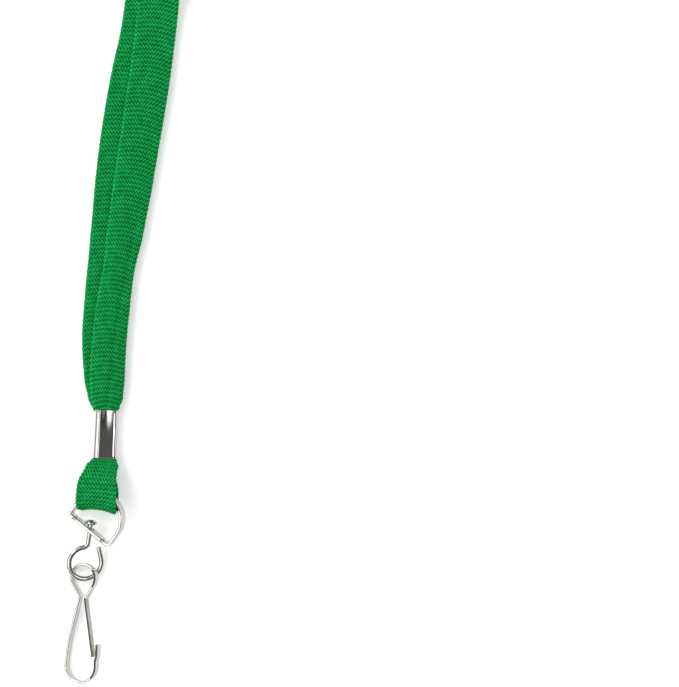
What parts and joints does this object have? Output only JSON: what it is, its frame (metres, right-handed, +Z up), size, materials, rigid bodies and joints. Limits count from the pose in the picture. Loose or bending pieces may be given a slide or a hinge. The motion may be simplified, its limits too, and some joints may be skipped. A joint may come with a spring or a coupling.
{
  "type": "lanyard badge holder",
  "caption": "Flat braided neck lace gathered in a metal crimp, with a D-ring, swivel pin and spring hook that holds a badge.",
  "frame": {"origin": "under the middle of the crimp sleeve, on the surface that the object lies on", "axes": "+Y along the crimp from hook to neck, +Z up from the surface, +X to the right when the hook points at the viewer's feet"},
  "size_m": [0.0446, 0.3412, 0.0122],
  "materials": {
    "nickel": "bright nickel plate",
    "lace": "braided polyester",
    "tie": "woven tie band"
  },
  "bodies": {
    "root": {"crimp_sleeve": "nickel", "lace_crimped": "lace", "lace_loop": "lace", "lace_neck_front": "lace", "lace_neck_back": "lace", "lace_hank": "lace", "hank_tie": "tie"},
    "ring": {"d_ring": "nickel"},
    "swivel": {"swivel_pin": "nickel"},
    "hook": {"spring_hook": "nickel"},
    "gate": {"hook_gate": "nickel"}
  },
  "joints": [
    {"name": "ring_swing", "type": "hinge", "parent": "root", "child": "ring", "pos_m": [-0.0011, -0.0158, 0.00471], "axis": [0.9698, 0, 0.244], "range_deg": [-75, 105]},
    {"name": "pin_swivel", "type": "hinge", "parent": "ring", "child": "swivel", "pos_m": [-0.00274, -0.02389, 0.0041], "axis": [0.1137, 0.9825, 0.1479], "continuous": true},
    {"name": "hook_slide_round", "type": "hinge", "parent": "swivel", "child": "hook", "pos_m": [-0.00372, -0.0324, 0.00282], "axis": [0.2908, -0.1752, 0.9406], "range_deg": [-40, 35]},
    {"name": "gate_press", "type": "hinge", "parent": "hook", "child": "gate", "pos_m": [-0.00314, -0.0414, 0.00257], "axis": [0.3092, -0.0041, -0.951], "range_deg": [0, 18], "stiffness_Nm_per_rad": 0.01, "springref_deg": -2.86}
  ]
}
